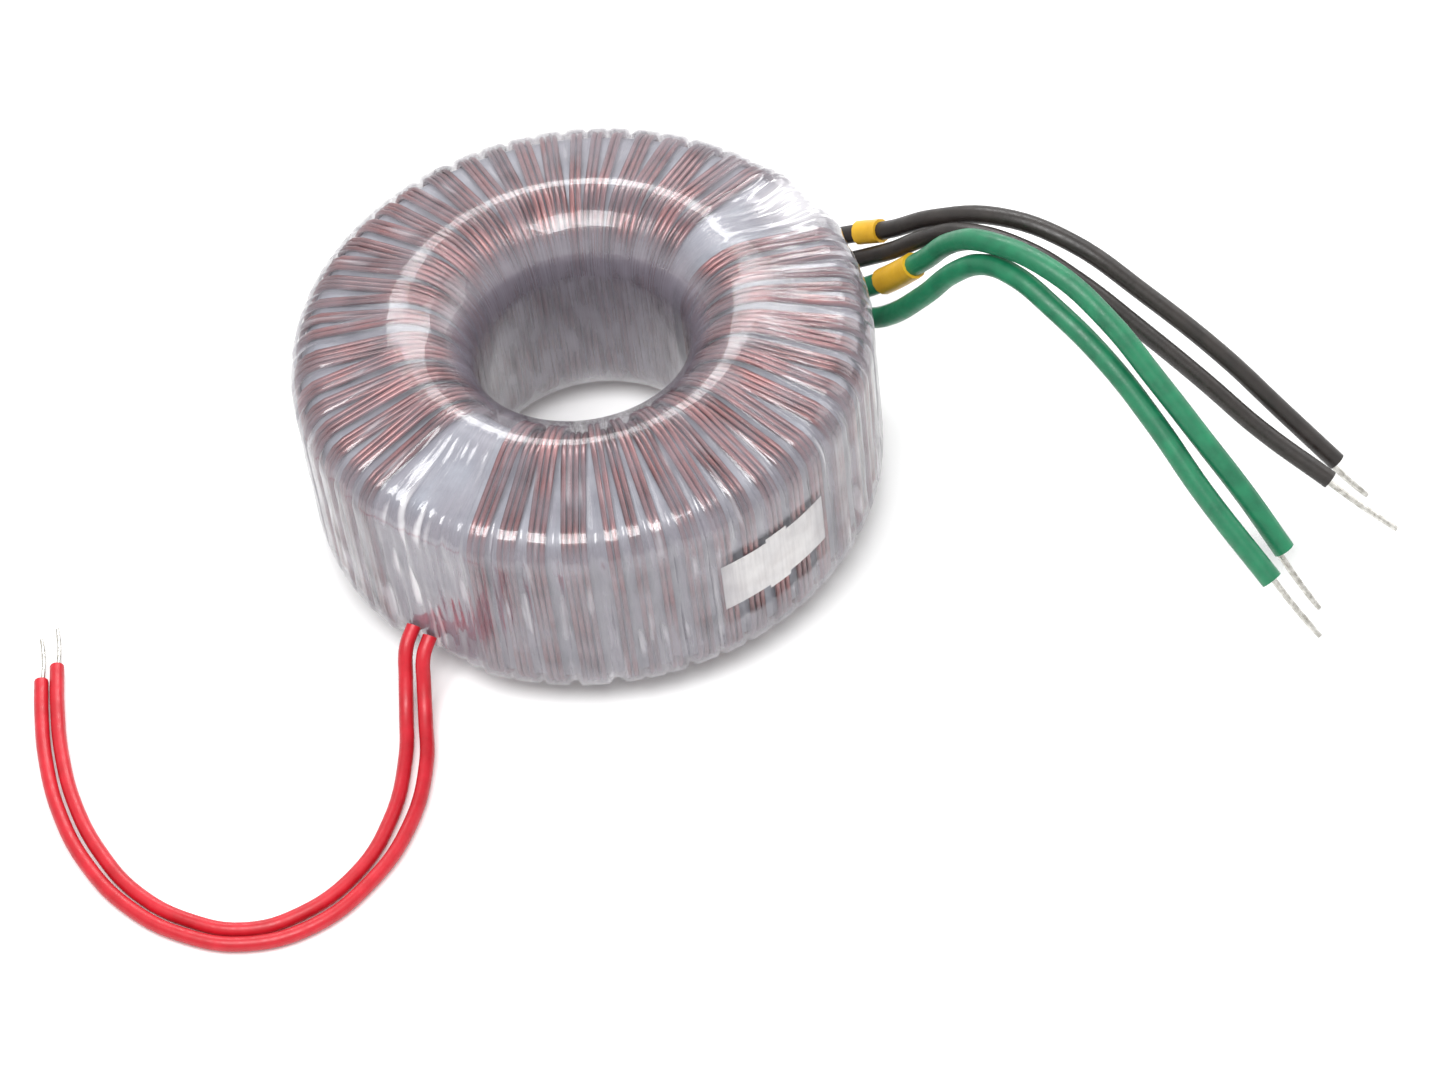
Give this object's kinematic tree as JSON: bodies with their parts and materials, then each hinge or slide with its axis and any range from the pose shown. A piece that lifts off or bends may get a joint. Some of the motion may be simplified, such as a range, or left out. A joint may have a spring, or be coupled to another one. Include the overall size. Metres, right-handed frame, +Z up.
{
  "type": "toroidal transformer",
  "caption": "Toroidal mains transformer: film-wrapped ring with bundled wire turns, two red, two black and two green flying leads.",
  "frame": {"origin": "centre of the through hole, on the plane of the lower seat ring", "axes": "+Z up along the axis of the ring; the red leads leave towards -X -Y and the secondary leads towards +X"},
  "size_m": [0.2242, 0.1329, 0.0459],
  "materials": {
    "core_steel": "strip-wound electrical steel, satin",
    "insulation": "polyester insulating film, hazy",
    "enamelled_copper": "copper wire under clear brown enamel",
    "film": "clear glossy polyester film in overlapped turns",
    "paper": "white label paper under the film",
    "red_pvc": "red insulated wire, soft gloss",
    "black_pvc": "black sleeve, soft gloss",
    "green_pvc": "green sleeve, soft gloss",
    "yellow_pvc": "yellow sleeve, soft gloss",
    "tinned_copper": "solder-tinned copper, uneven"
  },
  "bodies": {
    "root": {"core": "core_steel", "core_insulation": "insulation", "primary_winding": "enamelled_copper", "winding_insulation": "insulation", "secondary_winding_a": "enamelled_copper", "secondary_winding_b": "enamelled_copper", "outer_wrap": "film", "label": "paper", "red_lead_1": "red_pvc", "red_lead_2": "red_pvc", "red_lead_1_end": "tinned_copper", "red_lead_2_end": "tinned_copper", "black_lead_1": "black_pvc", "black_lead_2": "black_pvc", "green_lead_1": "green_pvc", "green_lead_2": "green_pvc", "black_lead_1_end": "tinned_copper", "black_lead_2_end": "tinned_copper", "green_lead_1_end": "tinned_copper", "green_lead_2_end": "tinned_copper", "upper_yellow_sleeve": "yellow_pvc", "lower_yellow_sleeve": "yellow_pvc"}
  },
  "joints": []
}
